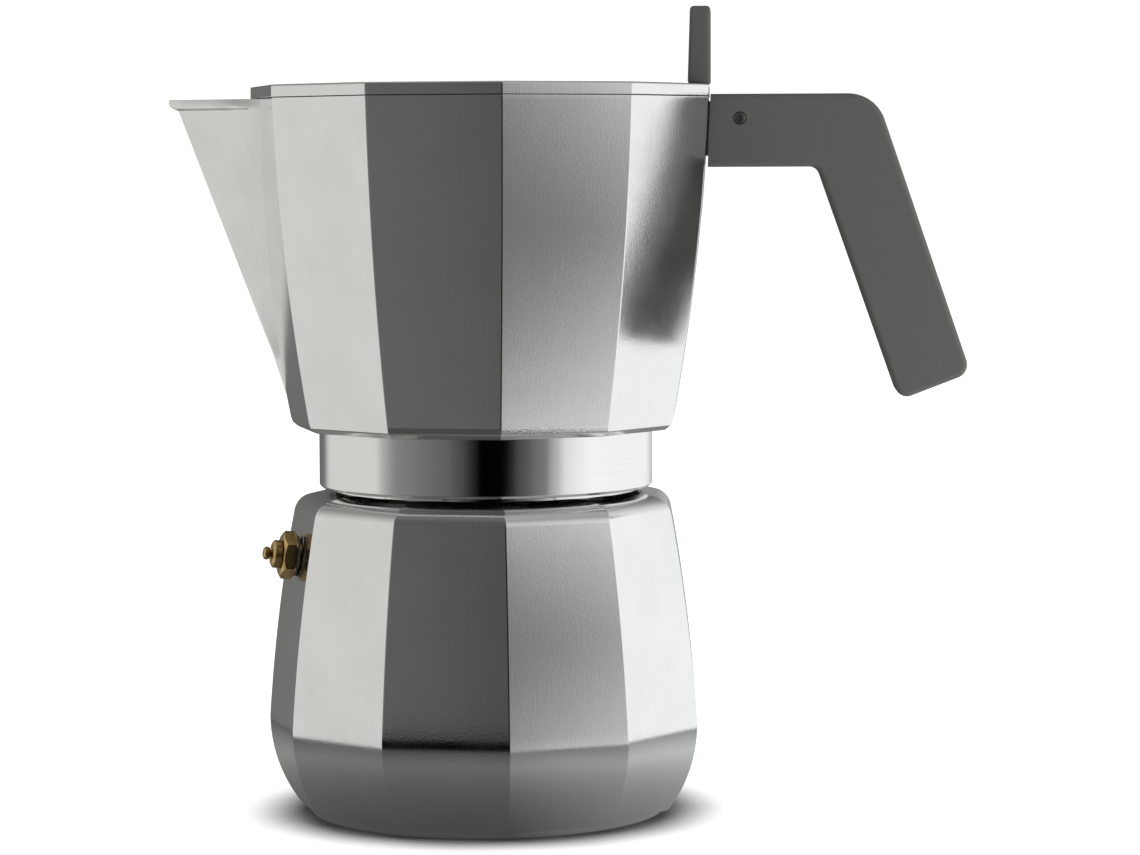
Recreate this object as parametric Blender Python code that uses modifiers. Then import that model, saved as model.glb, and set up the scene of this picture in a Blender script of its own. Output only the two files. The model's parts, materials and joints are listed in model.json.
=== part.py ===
"""Stovetop moka pot: boiler, funnel, screw-on jug with spout, hinged lid.

Axes: origin on the boiler's axis at the table, +Z up, +X toward the handle,
-X toward the spout. All sizes are in metres. Both vessels are eleven-sided,
with a corner under the spout and a flat face behind the handle.
"""
import math

import bmesh
import bpy
from mathutils import Matrix, Vector

for old in list(bpy.data.objects):
    bpy.data.objects.remove(old, do_unlink=True)

# ---- driving dimensions -------------------------------------------------
SIDES = 11                                   # faces round each vessel
STEP = 2.0 * math.pi / SIDES
FLAT = math.cos(STEP / 2.0)                  # face distance / corner distance
ROUND = 44                                   # steps round a turned part
SMALL = 24                                   # steps round a small turned part
BOILER_TURN = math.radians(1.25)             # boiler's twist when screwed tight

# boiler: corner radii and heights
BOILER_MAX = (0.06325, 0.0270)               # widest corner
BOILER_MID = (0.0604, 0.0567)
BOILER_TOP = (0.0558, 0.0862)                # where the shoulder starts
BOILER_BELLY_R = 0.0410                      # arc of the lower wall
BOILER_BOTTOM = 0.0018
SHOULDER_OUT = (0.0534, 0.0911)
SHOULDER_IN = (0.0462, 0.0927)
BOILER_WALL = 0.0030
FOOT_R = 0.0510
NECK_R = 0.0439                              # root of the male thread
NECK_BORE_R = 0.0410
NECK_TOP = 0.1035

# round screw thread between boiler and jug, relieved so it never binds
PITCH = 0.0030
BEAD_R = 0.0010
MALE_CREST_R = 0.0447
FEMALE_CREST_R = 0.04495
FEMALE_ROOT_R = 0.0457

# jug
JUG_RIM = (0.06715, 0.2051)                  # corner radius and height of the rim
JUG_MID = (0.0634, 0.1582)
JUG_LOW = (0.0566, 0.1141)
RIM_Z = JUG_RIM[1]
TRIM = 0.2090                                # rough rim, faced off at RIM_Z
JUG_WALL = 0.0026
JUG_FLOOR = 0.1146
COLLAR_R = 0.0480
COLLAR_BOTTOM = 0.0940
COLLAR_TOP = 0.1109
SEAT_R = 0.0442                              # where gasket and filter plate sit
SEAT_Z = 0.1088

# spout, measured from the axis toward -X
SPOUT_TIP = 0.0908
SPOUT_RIDGE = 0.0893                         # the ridge's reach at the rim
SPOUT_ROOT = (0.0572, 0.1202)                # reach and height of the lowest point
SPOUT_SIDE = (0.0520, 0.0230)                # a point of its side face at the rim, inside the wall
SPOUT_LIP_END = (0.0652, 0.0149)
SPOUT_WALL = 0.0022

# lid, knob and hinge
LID_BOTTOM = 0.20545
LID_TOP = 0.2087
LID_R = 0.0673
PIN_X = 0.0733
PIN_Z = 0.1991
EYE_R = 0.0034
TONGUE_HALF = 0.0028
KNOB_FOOT_X = (0.0585, 0.0650)
KNOB_TOP_X = (0.0592, 0.0650)
KNOB_TOP = 0.2309
KNOB_HALF = 0.0090
KNOB_SCREW_Y = 0.0060

# handle
HANDLE_HALF = 0.0090
HANDLE_TOP = 0.2060
ARM_BOTTOM = 0.1853
POCKET_HALF = 0.0065
LUG_HALF = 0.0062
SLOT_HALF = 0.0032

# funnel, filters and gasket
FLANGE_R = 0.0432
FLANGE_Z = (0.10375, 0.1045)
FUNNEL_R = 0.0402
FUNNEL_WALL = 0.0010
CUP_BOTTOM = 0.0782
TUBE_R = 0.0055
TUBE_BOTTOM = 0.0095
GASKET_R = (0.0320, 0.0434)
GASKET_Z = (0.1048, 0.1076)
PLATE_R = 0.0428
PLATE_Z = (0.1079, 0.1085)

# column the coffee climbs
COLUMN_TOP = 0.1740
COLUMN_BASE_R = 0.0095
COLUMN_TOP_R = 0.0062
COLUMN_BORE_R = 0.0040

# safety valve: a tilted axis out of one boiler face
VALVE_POLAR = math.radians(-162.4)
VALVE_TILT = math.radians(7.0)
VALVE_REACH = 0.0558
VALVE_Z = 0.0751
VALVE_FLATS = 0.0120

PARTS = bpy.data.collections.new("moka_pot")
TOOLS = bpy.data.collections.new("construction")
for holder in (PARTS, TOOLS):
    bpy.context.scene.collection.children.link(holder)

MATERIALS = {
    "cast_aluminium": ((0.62, 0.62, 0.60), 1.0, 0.34),
    "spun_aluminium": ((0.70, 0.70, 0.69), 1.0, 0.30),
    "grey_plastic": ((0.085, 0.085, 0.080), 0.0, 0.55),
    "brass": ((0.55, 0.40, 0.16), 1.0, 0.30),
    "steel": ((0.55, 0.56, 0.57), 1.0, 0.28),
    "white_silicone": ((0.72, 0.71, 0.66), 0.0, 0.60),
    "fibre": ((0.22, 0.10, 0.06), 0.0, 0.75),
    "black_rubber": ((0.03, 0.03, 0.03), 0.0, 0.70),
}


# ---- builders -------------------------------------------------------------
def add(name, data, tool=False):
    """Link a mesh or curve as a part, or as hidden construction."""
    thing = bpy.data.objects.new(name, data)
    (TOOLS if tool else PARTS).objects.link(thing)
    if tool:
        thing.hide_render = True
        thing.display_type = "WIRE"
    return thing


def coat(thing, kind):
    """Give a part its own Principled material."""
    colour, metallic, roughness = MATERIALS[kind]
    material = bpy.data.materials.new(f"{thing.name}_{kind}")
    material.use_nodes = True
    shader = material.node_tree.nodes["Principled BSDF"]
    shader.inputs["Base Color"].default_value = (*colour, 1.0)
    shader.inputs["Metallic"].default_value = metallic
    shader.inputs["Roughness"].default_value = roughness
    thing.data.materials.clear()
    thing.data.materials.append(material)


def turned(name, profile, steps=ROUND, closed=True, tool=False):
    """Spin a (radius, height) profile about Z; its outer side comes first, top to bottom."""
    mesh = bpy.data.meshes.new(name)
    last = len(profile) - 1
    edges = [(i, i + 1) for i in range(last)] + ([(last, 0)] if closed else [])
    mesh.from_pydata([(r, 0.0, z) for r, z in profile], edges, [])
    thing = add(name, mesh, tool)
    spin = thing.modifiers.new("Spin", "SCREW")
    spin.axis = "Z"
    spin.steps = spin.render_steps = steps
    spin.use_merge_vertices = True
    spin.merge_threshold = 1e-6
    spin.use_smooth_shade = steps > SIDES
    return thing


def turned_solid(name, profile, steps=ROUND, tool=False):
    """Spin a profile that is closed by its axis."""
    line = [(0.0, profile[0][1]), *profile, (0.0, profile[-1][1])]
    return turned(name, line, steps, closed=False, tool=tool)


def drill(name, radius, z, steps=SMALL, frame=None):
    """Cylindrical tool between two heights, placed by an optional matrix."""
    shape = bmesh.new()
    bmesh.ops.create_cone(shape, cap_ends=True, segments=steps, radius1=radius, radius2=radius,
                          depth=z[1] - z[0], matrix=Matrix.Translation((0.0, 0.0, (z[0] + z[1]) / 2.0)))
    thing = add(name, finished(name, shape), tool=True)
    if frame:
        thing.matrix_world = frame
    return thing


def block(name, x, y, z):
    """Box tool between three (low, high) pairs."""
    low, high = Vector((x[0], y[0], z[0])), Vector((x[1], y[1], z[1]))
    shape = bmesh.new()
    bmesh.ops.create_cube(shape, size=1.0,
                          matrix=Matrix.Translation((low + high) / 2.0) @ Matrix.Diagonal((*(high - low), 1.0)))
    return add(name, finished(name, shape), tool=True)


def finished(name, shape):
    """Turn a bmesh into a mesh with its faces pointing out."""
    bmesh.ops.recalc_face_normals(shape, faces=shape.faces)
    mesh = bpy.data.meshes.new(name)
    shape.to_mesh(mesh)
    shape.free()
    return mesh


def hull(name, points):
    """Convex tool round some points."""
    shape = bmesh.new()
    for point in points:
        shape.verts.new(point)
    result = bmesh.ops.convex_hull(shape, input=shape.verts)
    loose = {g for g in result["geom_interior"] + result["geom_unused"] if isinstance(g, bmesh.types.BMVert)}
    bmesh.ops.delete(shape, geom=list(loose), context="VERTS")
    return add(name, finished(name, shape), tool=True)


def rounded(corners, arc_steps=5):
    """Outline from (x, z, radius) corners, each replaced by an arc."""
    outline = []
    for i, (x, z, radius) in enumerate(corners):
        here = Vector((x, z))
        before = (Vector(corners[i - 1][:2]) - here).normalized()
        after = (Vector(corners[(i + 1) % len(corners)][:2]) - here).normalized()
        if radius == 0.0:
            outline.append(here)
            continue
        half = before.angle(after) / 2.0
        centre = here + (before + after).normalized() * radius / math.sin(half)
        start = here + before * radius / math.tan(half) - centre
        sweep = start.angle_signed(here + after * radius / math.tan(half) - centre)
        outline += [centre + Matrix.Rotation(-sweep * k / arc_steps, 2) @ start for k in range(arc_steps + 1)]
    return outline


def meshed(name, curve, tool=False):
    """Make a curve's solid a mesh with whole caps joined on, and drop the curve."""
    source = bpy.data.objects.new(name, curve)
    TOOLS.objects.link(source)
    bpy.context.view_layer.update()
    mesh = bpy.data.meshes.new_from_object(source.evaluated_get(bpy.context.evaluated_depsgraph_get()))
    place = source.matrix_world.copy()
    bpy.data.objects.remove(source, do_unlink=True)
    shape = bmesh.new()
    shape.from_mesh(mesh)
    bmesh.ops.remove_doubles(shape, verts=shape.verts, dist=1e-6)
    bmesh.ops.dissolve_limit(shape, angle_limit=1e-3, verts=shape.verts, edges=shape.edges)
    thing = add(name, finished(name, shape), tool)
    thing.matrix_world = place
    return thing


def slab(name, outline, half, bevel=0.0, tool=False):
    """Plate with its outline in the XZ plane, thickened evenly about Y = 0."""
    curve = bpy.data.curves.new(name, "CURVE")
    curve.dimensions, curve.fill_mode, curve.extrude = "2D", "BOTH", half
    line = curve.splines.new("POLY")
    line.use_cyclic_u = True
    line.points.add(len(outline) - 1)
    for point, (x, z) in zip(line.points, outline):
        point.co = (x, z, 0.0, 1.0)
    thing = meshed(name, curve, tool)
    thing.rotation_euler.x = math.pi / 2.0
    if bevel:
        soft = thing.modifiers.new("Round edges", "BEVEL")
        soft.width, soft.segments = bevel, 3
        soft.limit_method, soft.angle_limit = "ANGLE", math.radians(60.0)
    return thing


def coil(name, radius, wire, bottom, pitch, turns, steps, tool=False):
    """Round wire wound about Z, with closed ends."""
    curve = bpy.data.curves.new(name, "CURVE")
    curve.dimensions = "3D"
    curve.bevel_depth, curve.bevel_resolution = wire, 2
    curve.use_fill_caps = True
    line = curve.splines.new("POLY")
    line.points.add(int(round(turns * steps)))
    for i, point in enumerate(line.points):
        angle = 2.0 * math.pi * i / steps
        point.co = (radius * math.cos(angle), radius * math.sin(angle), bottom + pitch * i / steps, 1.0)
    return meshed(name, curve, tool)


def combine(thing, operation, *tools):
    """Join, cut or keep a part with its tools, in order."""
    for tool in tools:
        step = thing.modifiers.new(f"{operation.title()} {tool.name}", "BOOLEAN")
        step.operation, step.solver, step.object = operation, "EXACT", tool


def weld(thing):
    """Close the hair cracks that a chain of Booleans can leave."""
    thing.modifiers.new("Weld", "WELD").merge_threshold = 2e-6


def arc_through(low, middle, high, count):
    """Points of the circular arc through three (radius, height) points, from high to low."""
    a, b, c = (Vector(p) for p in (low, middle, high))
    d = 2.0 * (a.x * (b.y - c.y) + b.x * (c.y - a.y) + c.x * (a.y - b.y))
    aa, bb, cc = a.length_squared, b.length_squared, c.length_squared
    centre = Vector((aa * (b.y - c.y) + bb * (c.y - a.y) + cc * (a.y - b.y),
                     aa * (c.x - b.x) + bb * (a.x - c.x) + cc * (b.x - a.x))) / d
    start, end = (math.atan2(*(p - centre).yx) for p in (c, a))
    radius = (a - centre).length
    return [(centre.x + radius * math.cos(t), centre.y + radius * math.sin(t))
            for t in (start + (end - start) * k / count for k in range(count + 1))]


def boiler_wall(inset=0.0):
    """Boiler profile from shoulder to foot, as corner radii, moved in by inset."""
    upper = arc_through(BOILER_MAX, BOILER_MID, BOILER_TOP, 9)
    sweep = math.asin((BOILER_MAX[1] - BOILER_BOTTOM) / BOILER_BELLY_R)
    belly = [(BOILER_MAX[0] - BOILER_BELLY_R * (1.0 - math.cos(sweep * k / 7)),
              BOILER_MAX[1] - BOILER_BELLY_R * math.sin(sweep * k / 7)) for k in range(1, 8)]
    return [(r - inset / FLAT, z) for r, z in upper + belly]


def jug_wall(inset=0.0):
    """Jug profile from rim to lower edge, as corner radii, moved in by inset."""
    return [(r - inset / FLAT, z) for r, z in arc_through(JUG_LOW, JUG_MID, JUG_RIM, 10)]


def across(x, z):
    """Matrix of an axis along Y through a point of the XZ plane."""
    return Matrix.Translation((x, 0.0, z)) @ Matrix.Rotation(math.pi / 2.0, 4, "X")


def perforations(name, rings, spacing, radius, z):
    """Hexagonal field of six-sided drills, as one tool."""
    shape = bmesh.new()
    for i in range(-rings, rings + 1):
        for j in range(max(-rings, -rings - i), min(rings, rings - i) + 1):
            centre = (spacing * (i + 0.5 * j), spacing * j * math.sqrt(3.0) / 2.0, (z[0] + z[1]) / 2.0)
            bmesh.ops.create_cone(shape, cap_ends=True, segments=6, radius1=radius, radius2=radius,
                                  depth=z[1] - z[0], matrix=Matrix.Translation(centre))
    return add(name, finished(name, shape), tool=True)


# ---- boiler -------------------------------------------------------------
def valve_frame():
    """Matrix whose +Z is the valve's axis, from the boiler's face outward."""
    level = Vector((math.cos(VALVE_POLAR), math.sin(VALVE_POLAR), 0.0))
    axis = level * math.cos(VALVE_TILT) + Vector((0.0, 0.0, math.sin(VALVE_TILT)))
    seat = level * VALVE_REACH + Vector((0.0, 0.0, VALVE_Z))
    return Matrix.Translation(seat) @ axis.to_track_quat("Z", "Y").to_matrix().to_4x4()


def make_boiler():
    boiler = turned_solid("boiler", [SHOULDER_IN, SHOULDER_OUT, (0.0546, 0.0900), (0.0553, 0.0884),
                                     *boiler_wall()], SIDES)
    neck = turned_solid("neck", [(NECK_R - 0.0006, NECK_TOP), (NECK_R, NECK_TOP - 0.0006), (NECK_R, 0.0870)],
                        tool=True)
    foot = turned_solid("foot", [(FOOT_R, 0.0040), (FOOT_R, 0.0005), (FOOT_R - 0.0005, 0.0)], tool=True)
    inside = [p for p in boiler_wall(BOILER_WALL) if 0.0065 < p[1] < 0.0865]
    room = turned_solid("boiler_room", [(0.0480, 0.0884), (0.0516, 0.0876), *inside, (0.0490, 0.0046),
                                        (0.0455, 0.0036)], SIDES, tool=True)
    for thing in (boiler, room):
        thing.rotation_euler.z = math.pi + BOILER_TURN
    neck_bore = drill("neck_bore", NECK_BORE_R, (0.0850, 0.1100), ROUND)
    boss = drill("valve_boss", 0.0066, (-0.0052, 0.0), SMALL, valve_frame())
    boss_bore = drill("valve_bore", 0.0041, (-0.0100, 0.0100), SMALL, valve_frame())
    thread = coil("male_thread", MALE_CREST_R - BEAD_R, BEAD_R, 0.0955, PITCH, 2.0, 22, tool=True)
    combine(boiler, "UNION", neck, foot)
    combine(boiler, "DIFFERENCE", room, neck_bore)
    combine(boiler, "UNION", boss)
    combine(boiler, "DIFFERENCE", boss_bore)
    combine(boiler, "UNION", thread)
    weld(boiler)
    coat(boiler, "cast_aluminium")


# ---- safety valve ---------------------------------------------------------
def make_valve():
    """Valve pieces, with heights measured out along the valve's axis."""
    washer = turned("valve_washer", [(0.0058, 0.0008), (0.0058, 0.00005), (0.0042, 0.00005),
                                     (0.0042, 0.0008)], SMALL)
    body = turned_solid("valve_body", [(0.0055, 0.0047), (0.0069, 0.0038), (0.0069, 0.00085),
                                       (0.0040, 0.00085), (0.0040, -0.0048), (0.0036, -0.0055)], SMALL)
    flats = drill("valve_flats", VALVE_FLATS / math.sqrt(3.0), (-0.0200, 0.0200), 6)
    chamber = drill("valve_chamber", 0.0029, (-0.0031, 0.0100))
    orifice = drill("valve_orifice", 0.0012, (-0.0100, 0.0), 12)
    combine(body, "INTERSECT", flats)
    combine(body, "DIFFERENCE", chamber, orifice)
    weld(body)
    collar = turned("valve_collar", [(0.0032, 0.0073), (0.0040, 0.0066), (0.0040, 0.00475),
                                     (0.0028, 0.00475), (0.0028, 0.0041), (0.0012, 0.0041),
                                     (0.0012, 0.0073)], SMALL)
    plunger = turned_solid("valve_plunger", [(0.0011, 0.0097), (0.0018, 0.0093), (0.0019, 0.0088),
                                             (0.0017, 0.0081), (0.0010, 0.0077), (0.0010, -0.0015),
                                             (0.0026, -0.0015), (0.0026, -0.0023)], SMALL)
    seal = turned_solid("valve_seal", [(0.0025, -0.00235), (0.0025, -0.0030)], SMALL)
    spring = coil("valve_spring", 0.0020, 0.0003, -0.0011, 0.0011, 4.4, 14)
    for piece in (washer, body, collar, plunger, seal, spring, flats, chamber, orifice):
        piece.matrix_world = valve_frame()
    for piece, kind in ((washer, "fibre"), (body, "brass"), (collar, "brass"), (plunger, "brass"),
                        (seal, "black_rubber"), (spring, "steel")):
        coat(piece, kind)


# ---- funnel, strainer, gasket and filter plate ------------------------------
def make_funnel():
    inner, tube_in = FUNNEL_R - FUNNEL_WALL, TUBE_R - FUNNEL_WALL
    funnel = turned("funnel_basket", [
        (FLANGE_R, FLANGE_Z[1]), (FLANGE_R, FLANGE_Z[0]), (FUNNEL_R, FLANGE_Z[0]), (FUNNEL_R, CUP_BOTTOM),
        (0.0388, 0.0766), (0.0075, 0.0690), (TUBE_R, 0.0672), (TUBE_R, TUBE_BOTTOM),
        (tube_in, TUBE_BOTTOM), (tube_in, 0.0676), (0.0070, 0.0699), (0.0380, 0.0774),
        (inner, CUP_BOTTOM + 0.0003), (inner, FLANGE_Z[1])])
    combine(funnel, "DIFFERENCE", block("tube_notch", (-0.0100, 0.0100), (-0.0012, 0.0012), (0.0050, 0.0125)))
    coat(funnel, "spun_aluminium")
    strainer = turned_solid("funnel_filter", [(0.0388, 0.0794), (0.0388, 0.0788)])
    combine(strainer, "DIFFERENCE", perforations("strainer_holes", 3, 0.0098, 0.0016, (0.0770, 0.0810)))
    coat(strainer, "spun_aluminium")


def make_seals():
    (inner, outer), (low, high) = GASKET_R, GASKET_Z
    edge = 0.0003
    gasket = turned("gasket", [(outer - edge, high), (outer, high - edge), (outer, low + edge),
                               (outer - edge, low), (inner, low), (inner, high)])
    coat(gasket, "white_silicone")
    plate = turned_solid("filter_plate", [(PLATE_R, PLATE_Z[1]), (PLATE_R, PLATE_Z[0])])
    combine(plate, "DIFFERENCE", perforations("plate_holes", 3, 0.0080, 0.0013, (0.1060, 0.1100)))
    coat(plate, "spun_aluminium")


# ---- jug ------------------------------------------------------------------
def flared(x, y):
    """A rim-level point carried on up its line from the spout's root to the rough rim."""
    grow = (TRIM - SPOUT_ROOT[1]) / (RIM_Z - SPOUT_ROOT[1])
    return SPOUT_ROOT[0] + (x - SPOUT_ROOT[0]) * grow, y * grow


def both_sides(points):
    """Mirror (reach, half width, height) points about the spout's plane."""
    return [(-x, side * y, z) for side in (-1.0, 1.0) for x, y, z in points]


def make_jug():
    jug = turned_solid("jug", [(JUG_RIM[0], TRIM + 0.0010), *jug_wall()[1:], (0.0560, 0.1123),
                               (0.0542, COLLAR_TOP)], SIDES)
    root_x, root_z = SPOUT_ROOT
    spout = hull("spout", both_sides([(root_x, 0.0, root_z), (0.0450, 0.0, 0.1300), (0.0450, 0.0150, TRIM),
                                      (*flared(SPOUT_RIDGE, 0.0004), TRIM), (*flared(*SPOUT_SIDE), TRIM)]))
    lip = hull("spout_lip", both_sides([(SPOUT_TIP, 0.0008, TRIM + 0.0005), (SPOUT_TIP, 0.0008, 0.2036),
                                        (0.0880, 0.0004, 0.2013), (*SPOUT_LIP_END, TRIM + 0.0005),
                                        (0.0648, 0.0146, 0.2027), (0.0600, 0.0100, TRIM + 0.0005)]))
    above_rim = block("above_rim", (-0.1200, 0.0800), (-0.0800, 0.0800), (RIM_Z, 0.2400))
    inside = [p for p in jug_wall(JUG_WALL) if p[1] > 0.1200]
    room = turned_solid("jug_room", [(inside[0][0] + 0.0002, 0.2200), *inside, (0.0528, 0.1166),
                                     (0.0500, JUG_FLOOR)], SIDES, tool=True)
    spout_room = hull("spout_room", both_sides(
        [(root_x - 0.0032, 0.0, root_z + 0.0060), (0.0400, 0.0, 0.1420)]
        + [(x, y, z) for z in (RIM_Z, 0.2200) for x, y in (
            (SPOUT_RIDGE - 0.0036, 0.0003), (SPOUT_SIDE[0], SPOUT_SIDE[1] - SPOUT_WALL), (0.0400, 0.0200))]))
    collar = turned_solid("collar", [(COLLAR_R, 0.1130), (COLLAR_R, COLLAR_BOTTOM + 0.0008),
                                     (COLLAR_R - 0.0008, COLLAR_BOTTOM)], tool=True)
    collar_bore = turned_solid("collar_bore", [(SEAT_R, SEAT_Z), (SEAT_R, 0.1046), (FEMALE_ROOT_R, 0.1040),
                                               (FEMALE_ROOT_R, 0.0900)], tool=True)
    dome = turned_solid("filter_dome", [(0.0090, 0.1113), (0.0300, 0.1106), (0.0310, 0.1080)], tool=True)
    floor_hole = drill("floor_hole", 0.0067, (0.1050, 0.1200))
    lug = block("lug", (0.0600, 0.0830), (-LUG_HALF, LUG_HALF), (0.1885, 0.2040))
    notch = block("hinge_notch", (0.0500, 0.0900), (-SLOT_HALF, SLOT_HALF), (0.1945, 0.2200))
    lug_bore = drill("lug_bore", 0.0016, (-0.0200, 0.0200), 16, across(PIN_X, PIN_Z))
    thread = coil("female_thread", FEMALE_CREST_R + BEAD_R, BEAD_R, 0.0970, PITCH, 1.6, 22, tool=True)
    for thing in (jug, room):
        thing.rotation_euler.z = math.pi
    combine(jug, "UNION", spout, lip)
    combine(jug, "DIFFERENCE", above_rim, room, spout_room)
    combine(jug, "UNION", collar)
    combine(jug, "DIFFERENCE", collar_bore, dome, floor_hole)
    combine(jug, "UNION", lug)
    combine(jug, "DIFFERENCE", notch, lug_bore)
    combine(jug, "UNION", thread)
    weld(jug)
    coat(jug, "cast_aluminium")


def make_column():
    column = turned("column", [(0.0030, COLUMN_TOP), (0.0052, COLUMN_TOP - 0.0008),
                               (COLUMN_TOP_R, COLUMN_TOP - 0.0025), (COLUMN_TOP_R, COLUMN_TOP - 0.0100),
                               (COLUMN_BASE_R - 0.0010, 0.1200), (COLUMN_BASE_R + 0.0015, 0.1160),
                               (COLUMN_BASE_R + 0.0015, JUG_FLOOR + 0.0001), (0.0066, JUG_FLOOR + 0.0001),
                               (0.0066, 0.1116), (COLUMN_BORE_R, 0.1116), (COLUMN_BORE_R, COLUMN_TOP - 0.0035),
                               (0.0015, COLUMN_TOP - 0.0020), (0.0015, COLUMN_TOP)], 32)
    combine(column, "DIFFERENCE", block("column_outlet", (-0.0024, 0.0024), (-0.0200, 0.0200),
                                        (COLUMN_TOP - 0.0110, COLUMN_TOP - 0.0050)))
    coat(column, "cast_aluminium")


# ---- handle and hinge pin ---------------------------------------------------
def make_handle():
    handle = slab("handle", rounded([
        (0.0650, HANDLE_TOP, 0.0), (0.1118, HANDLE_TOP, 0.0110), (0.1389, 0.1266, 0.0040),
        (0.1187, 0.1188, 0.0035), (0.0953, ARM_BOTTOM, 0.0030), (0.0642, ARM_BOTTOM, 0.0)]),
        HANDLE_HALF, bevel=0.0015)
    pocket = block("handle_pocket", (0.0600, 0.0834), (-POCKET_HALF, POCKET_HALF), (0.1881, 0.2043))
    slot = block("tongue_slot", (0.0600, 0.0806), (-SLOT_HALF - 0.0002, SLOT_HALF + 0.0002), (0.2000, 0.2200))
    bore = drill("handle_bore", 0.00155, (-0.0200, 0.0200), 16, across(PIN_X, PIN_Z))
    near = drill("head_bore_near", 0.0019, (0.0076, 0.0200), 20, across(PIN_X, PIN_Z))
    far = drill("head_bore_far", 0.0019, (-0.0200, -0.0076), 20, across(PIN_X, PIN_Z))
    combine(handle, "DIFFERENCE", pocket, slot, bore, near, far)
    coat(handle, "grey_plastic")


def make_pin():
    """Socket screw from the near side into a barrel nut from the far side."""
    screw = turned_solid("hinge_screw", [(0.0016, 0.0088), (0.0016, 0.0077), (0.0008, 0.0077),
                                         (0.0008, -0.0040)], 20)
    combine(screw, "DIFFERENCE", drill("socket", 0.0009, (0.0081, 0.0100), 6, across(PIN_X, PIN_Z)))
    nut = turned("hinge_barrel_nut", [(0.0014, 0.0060), (0.0014, -0.0077), (0.0016, -0.0077),
                                      (0.0016, -0.0088), (0.0009, -0.0088), (0.0009, 0.0060)], 20)
    for piece in (screw, nut):
        piece.matrix_world = across(PIN_X, PIN_Z)
        coat(piece, "steel")


# ---- lid and knob -------------------------------------------------------------
def make_lid():
    lid = turned_solid("lid", [(LID_R - 0.0005, LID_TOP), (LID_R, LID_TOP - 0.0005), (LID_R, LID_BOTTOM)],
                       SIDES)
    relief = turned_solid("lid_relief", [(0.0560, LID_BOTTOM + 0.0010), (0.0570, 0.2000)], SIDES, tool=True)
    for thing in (lid, relief):
        thing.rotation_euler.z = math.pi
    eye = [(PIN_X + EYE_R * math.cos(a), PIN_Z + EYE_R * math.sin(a))
           for a in (math.radians(20 * k - 110) for k in range(10))]
    tongue = slab("tongue", eye + [(0.0639, 0.2040), (0.0636, 0.2066), (0.0575, 0.2066), (0.0575, 0.2030),
                                   (0.0600, 0.1985), (0.0625, 0.1957)], TONGUE_HALF, tool=True)
    combine(lid, "DIFFERENCE", relief)
    combine(lid, "UNION", tongue)
    combine(lid, "DIFFERENCE", drill("tongue_bore", 0.0016, (-0.0200, 0.0200), 16, across(PIN_X, PIN_Z)))
    for name, place in knob_screw_places():
        sink = turned_solid(f"sink_{name}", [(0.00165, 0.2120), (0.00165, LID_BOTTOM + 0.0017),
                                             (0.0030, LID_BOTTOM), (0.0030, 0.2000)], 20, tool=True)
        sink.location = place
        combine(lid, "DIFFERENCE", sink)
    weld(lid)
    coat(lid, "cast_aluminium")


def knob_screw_places():
    middle = sum(KNOB_FOOT_X) / 2.0
    return (("front", Vector((middle, -KNOB_SCREW_Y, 0.0))), ("rear", Vector((middle, KNOB_SCREW_Y, 0.0))))


def make_knob():
    foot = LID_TOP + 0.0001
    knob = slab("lid_knob", rounded([
        (KNOB_TOP_X[0], KNOB_TOP, 0.0012), (KNOB_TOP_X[1], KNOB_TOP, 0.0012),
        (KNOB_FOOT_X[1], foot, 0.0), (KNOB_FOOT_X[0], foot, 0.0)], 4), KNOB_HALF, bevel=0.0010)
    for name, place in knob_screw_places():
        pilot = drill(f"pilot_{name}", 0.0015, (0.2000, 0.2185), 16, Matrix.Translation(place))
        combine(knob, "DIFFERENCE", pilot)
        screw = turned_solid(f"knob_screw_{name}", [(0.0014, 0.2180), (0.0014, LID_BOTTOM + 0.0016),
                                                    (0.0027, LID_BOTTOM + 0.0002)], 16)
        screw.location = place
        coat(screw, "steel")
    coat(knob, "grey_plastic")


def hang_lid():
    """Carry the lid's pieces on an empty at the hinge pin."""
    pivot = add("lid_pivot", None)
    pivot.location = (PIN_X, 0.0, PIN_Z)
    bpy.context.view_layer.update()
    for name in ("lid", "lid_knob", "knob_screw_front", "knob_screw_rear"):
        piece = bpy.data.objects[name]
        piece.parent = pivot
        piece.matrix_parent_inverse = pivot.matrix_world.inverted()
    bpy.context.view_layer.update()


for make in (make_boiler, make_valve, make_funnel, make_seals, make_jug, make_column, make_handle, make_pin,
             make_lid, make_knob, hang_lid):
    make()
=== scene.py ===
"""Looks of the moka pot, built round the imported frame: finer metal shells, plastics, studio and camera."""
import json
import math

import bmesh
import bpy
from mathutils import Matrix, Vector


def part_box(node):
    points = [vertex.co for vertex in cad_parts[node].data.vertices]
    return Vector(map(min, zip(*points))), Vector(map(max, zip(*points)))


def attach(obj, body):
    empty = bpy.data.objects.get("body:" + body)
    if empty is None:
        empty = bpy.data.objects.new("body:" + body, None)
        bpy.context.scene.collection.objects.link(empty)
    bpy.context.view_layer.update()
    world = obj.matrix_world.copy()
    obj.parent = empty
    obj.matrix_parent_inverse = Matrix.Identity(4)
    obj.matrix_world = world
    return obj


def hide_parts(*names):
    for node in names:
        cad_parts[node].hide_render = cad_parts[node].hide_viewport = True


MM = 0.001
SIDES = 11
STEP = 2.0 * math.pi / SIDES
FLAT = math.cos(STEP / 2.0)          # face distance / corner distance
CORNER_ROOM = 0.48                   # most of a side that the round at its end may use
WIDE_ANGLE, FINE_ANGLE = 50.0, 35.0  # degrees past which an edge stays sharp: boiler and lid, the rest
SOFT_ANGLE = 60.0                    # degrees past which a plastic edge is rounded
NORMAL_WEIGHT = 60                   # how strongly large faces rule the shading normals

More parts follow.
